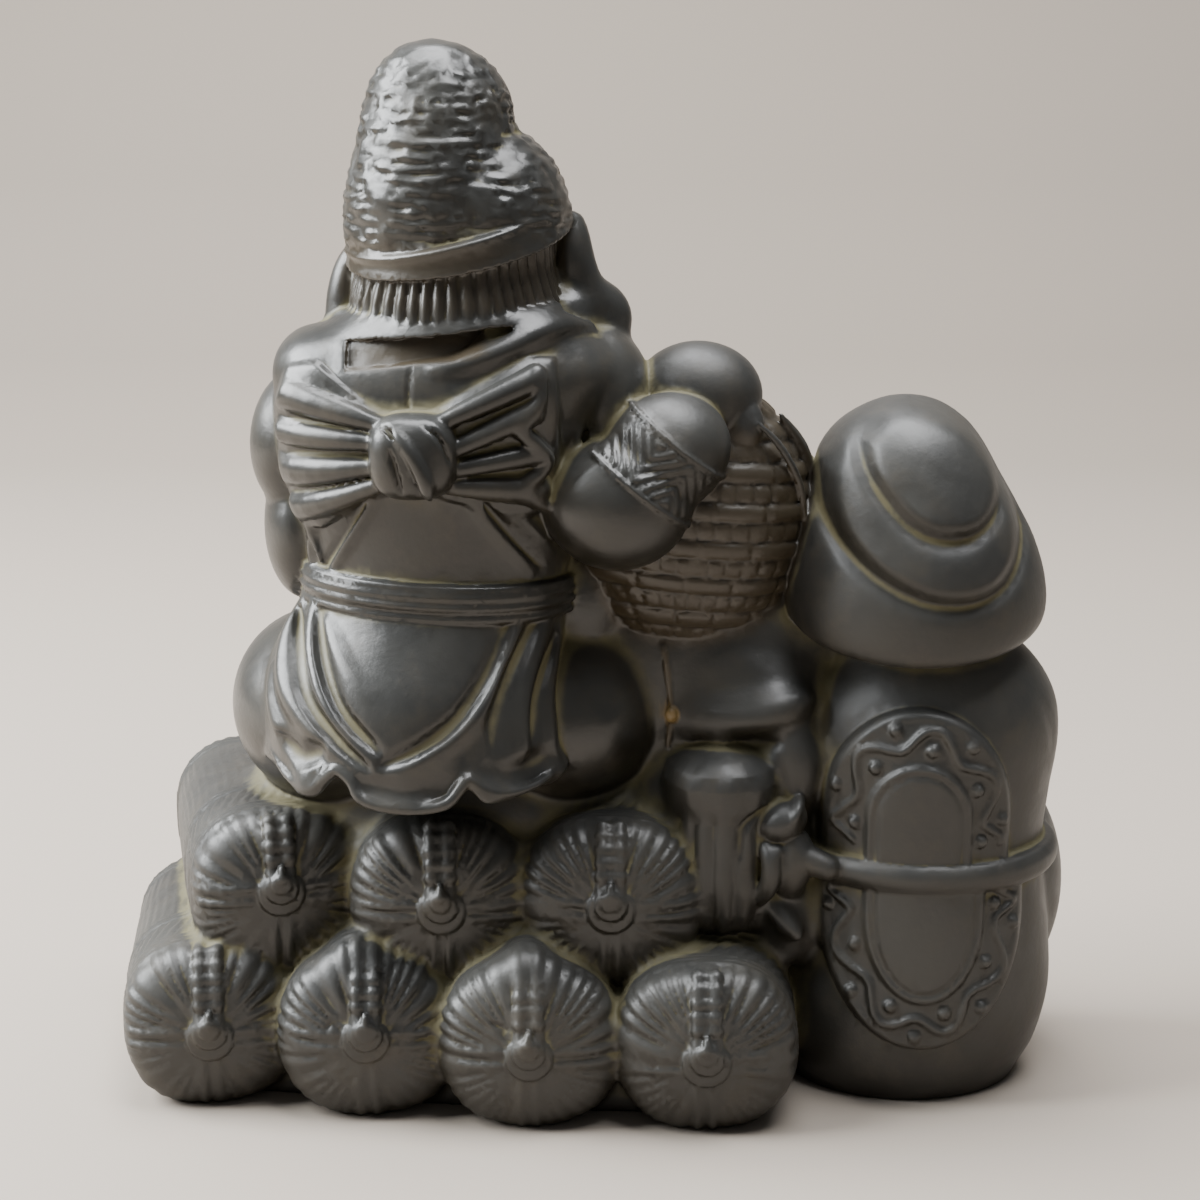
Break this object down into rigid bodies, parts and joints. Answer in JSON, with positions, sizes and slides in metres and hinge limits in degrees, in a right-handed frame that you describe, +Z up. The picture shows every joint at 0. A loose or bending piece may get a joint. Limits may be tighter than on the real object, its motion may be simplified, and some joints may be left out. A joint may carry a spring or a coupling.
{
  "type": "daikoku figure",
  "caption": "Hollow-cast clay ornament of two lucky gods with tied rice bales, one seated and one standing, that rests on a flat underside.",
  "frame": {"origin": "middle of the bounding box at the flat underside", "axes": "+Z up, the faces of both figures look along -Y, and the pictured back looks along +Y"},
  "size_m": [0.275, 0.1274, 0.29],
  "materials": {
    "smoked_clay": "smoked roof-tile clay, satin, with dust in the crevices"
  },
  "bodies": {
    "root": {"daikoku_and_ebisu_group": "smoked_clay"}
  },
  "joints": []
}
